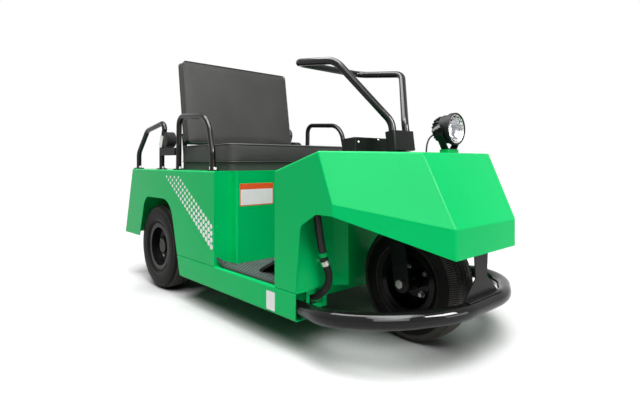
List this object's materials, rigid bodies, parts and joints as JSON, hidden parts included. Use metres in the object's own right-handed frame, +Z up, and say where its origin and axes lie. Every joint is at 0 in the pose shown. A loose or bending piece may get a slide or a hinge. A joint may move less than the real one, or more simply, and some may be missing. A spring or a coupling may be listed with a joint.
{
  "type": "electric personnel carrier",
  "caption": "Electric three-wheeled personnel carrier with a bench seat, flat load deck, faceted sheet cowl, tubular bumper and a tiller that steers the front wheel.",
  "frame": {"origin": "on the ground under the middle of the vehicle's length and width", "axes": "+X forward, +Y to the vehicle's left, +Z up"},
  "size_m": [2.018, 0.9024, 1.1621],
  "materials": {
    "body_green": "gloss",
    "black_paint": "satin",
    "rim_black": "satin",
    "zinc_steel": "satin",
    "tyre": "matte",
    "mat_rubber": "matte",
    "vinyl": "satin",
    "black_plastic": "matte",
    "lamp_glass": "gloss",
    "red_plastic": "gloss",
    "motor_alloy": "satin"
  },
  "bodies": {
    "chassis": {"side_sills": "body_green", "side_panels": "body_green", "tail_panel": "body_green", "load_deck": "body_green", "seat_platform": "body_green", "seat_box_front": "body_green", "wheel_tubs": "body_green", "cowl": "body_green", "bulkhead": "body_green", "steering_head": "body_green", "chassis_frame": "body_green", "floor_plate": "body_green", "bumper": "black_paint", "bumper_stay": "black_paint", "armrests": "black_paint", "rear_rails": "black_paint", "back_brackets": "black_paint", "lamp_yoke": "black_paint", "rear_axle": "black_paint", "leaf_springs": "black_paint", "dash_box": "black_paint", "conduit_clip": "zinc_steel", "floor_mat": "mat_rubber", "conduit": "mat_rubber", "lamp_lead": "mat_rubber", "seat_cushion": "vinyl", "seat_back": "vinyl", "seat_base": "black_plastic", "belt_reels": "black_plastic", "pedals": "black_plastic", "headlamp": "black_plastic", "battery": "black_plastic", "headlamp_lens": "lamp_glass", "tail_lamps": "red_plastic", "drive_motor": "motor_alloy"},
    "steering": {"fork": "black_paint", "front_axle": "zinc_steel", "column_box": "black_paint", "tiller": "black_paint"},
    "front_wheel": {"front_tyre": "tyre", "front_rim": "rim_black"},
    "rear_left_wheel": {"rear_left_tyre": "tyre", "rear_left_rim": "rim_black"},
    "rear_right_wheel": {"rear_right_tyre": "tyre", "rear_right_rim": "rim_black"}
  },
  "joints": [
    {"name": "steering_turn", "type": "hinge", "parent": "chassis", "child": "steering", "pos_m": [0.711, 0, 0.212], "axis": [-0.1392, 0, 0.9903], "range_deg": [-45, 45]},
    {"name": "front_wheel_roll", "type": "hinge", "parent": "steering", "child": "front_wheel", "pos_m": [0.711, 0, 0.212], "axis": [0, 1, 0], "continuous": true},
    {"name": "rear_left_wheel_roll", "type": "hinge", "parent": "chassis", "child": "rear_left_wheel", "pos_m": [-0.609, 0.353, 0.212], "axis": [0, 1, 0], "continuous": true},
    {"name": "rear_right_wheel_roll", "type": "hinge", "parent": "chassis", "child": "rear_right_wheel", "pos_m": [-0.609, -0.353, 0.212], "axis": [0, 1, 0], "continuous": true}
  ]
}
